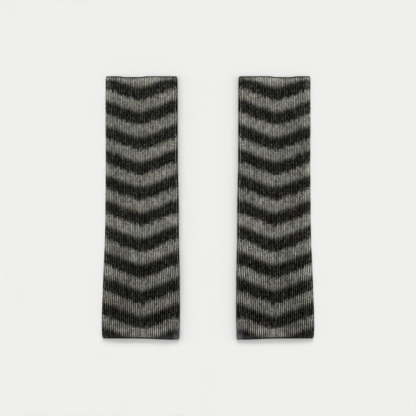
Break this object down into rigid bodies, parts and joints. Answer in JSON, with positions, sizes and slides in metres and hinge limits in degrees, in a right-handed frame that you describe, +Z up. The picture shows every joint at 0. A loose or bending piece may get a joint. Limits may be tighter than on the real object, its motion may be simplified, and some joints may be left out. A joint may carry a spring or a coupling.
{
  "type": "pair of leg warmers",
  "caption": "Pair of ribbed knit leg warmers laid flat side by side, open tubes that flare slightly to the ankle, with grey and charcoal chevron stripes.",
  "frame": {"origin": "centre of the pair's footprint on the surface it lies on", "axes": "+Y along both legs towards their top ends, +Z up out of the surface, +X to the right, from the left leg warmer to the right one"},
  "size_m": [0.3396, 0.42, 0.0084],
  "materials": {
    "ribbed_knit": "matt ribbed wool knit with grey and charcoal chevron stripes and a short soft nap",
    "edge_yarn": "matt charcoal yarn, chained off round each mouth"
  },
  "bodies": {
    "root": {"left_tube": "ribbed_knit", "right_tube": "ribbed_knit", "left_top_edge": "edge_yarn", "right_top_edge": "edge_yarn", "left_bottom_edge": "edge_yarn", "right_bottom_edge": "edge_yarn"}
  },
  "joints": []
}
